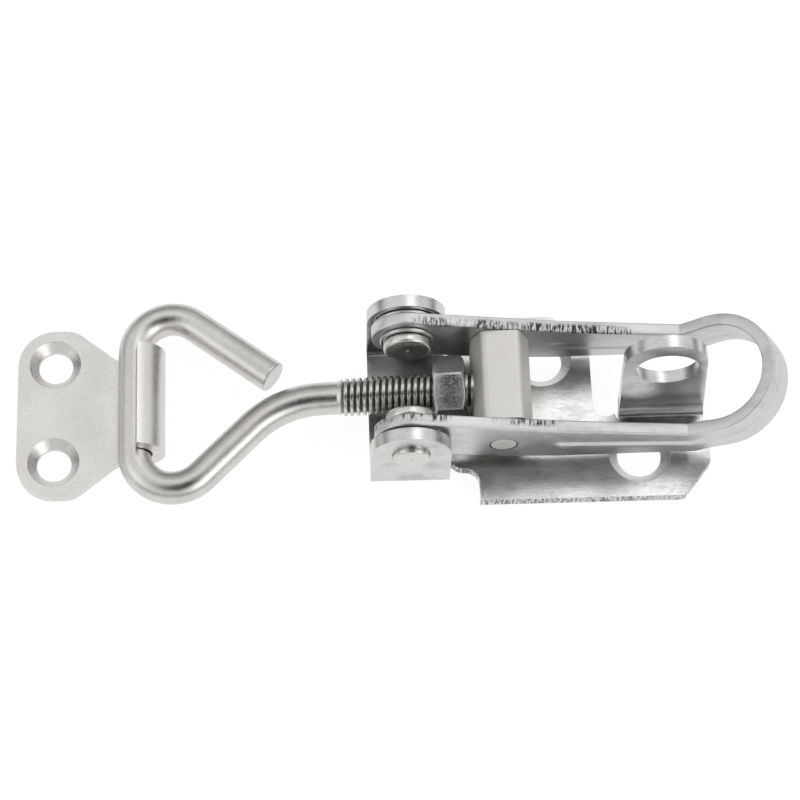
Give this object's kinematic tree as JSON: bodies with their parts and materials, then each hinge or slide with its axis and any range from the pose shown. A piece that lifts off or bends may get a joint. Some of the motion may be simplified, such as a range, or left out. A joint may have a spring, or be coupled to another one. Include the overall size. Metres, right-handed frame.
{
  "type": "toggle bolt latch",
  "caption": "Over-centre toggle latch of pressed sheet steel: a lever with a looped grip, a threaded hook bolt in a swivelling trunnion, a padlock eye and a keeper plate with a rolled hook.",
  "frame": {"origin": "on the base plate's mounting face, straight below the lever's pivot axis, on the centre plane between the two ears", "axes": "+X towards the lever's grip, -X along the hook bolt to the keeper, +Y towards the plate's short wing, +Z away from the mounting surface"},
  "size_m": [0.1219, 0.0345, 0.0256],
  "materials": {
    "polished_sheet": "polished",
    "satin_steel": "satin",
    "bright_nut": "bright"
  },
  "bodies": {
    "base": {"base_plate": "polished_sheet", "pivot_rivet_near": "satin_steel", "pivot_rivet_far": "satin_steel", "pivot_washer_near": "polished_sheet", "pivot_washer_far": "polished_sheet", "spacer_washer_near": "polished_sheet", "spacer_washer_far": "polished_sheet"},
    "lever": {"lever": "polished_sheet"},
    "bolt": {"trunnion": "satin_steel", "hook_bolt": "satin_steel"},
    "nut": {"lock_nut": "bright_nut"},
    "keeper": {"keeper": "satin_steel"}
  },
  "joints": [
    {"name": "lever_hinge", "type": "hinge", "parent": "base", "child": "lever", "pos_m": [0, 0, 0.0126], "axis": [0, -1, 0], "range_deg": [0, 120]},
    {"name": "trunnion_hinge", "type": "hinge", "parent": "lever", "child": "bolt", "pos_m": [0.0146, 0, 0.0094], "axis": [0, -1, 0], "range_deg": [-120, 0]},
    {"name": "nut_turn", "type": "hinge", "parent": "bolt", "child": "nut", "pos_m": [0.00662, 0, 0.00878], "axis": [-0.997, 0, -0.0774], "continuous": true},
    {"name": "keeper_swing", "type": "hinge", "parent": "bolt", "child": "keeper", "pos_m": [-0.04338, 0, 0.0049], "axis": [0, -1, 0], "range_deg": [-90, 90]}
  ],
  "couplings": [
    {"joint": "trunnion_hinge", "follows": "lever_hinge", "ratio": -1}
  ]
}
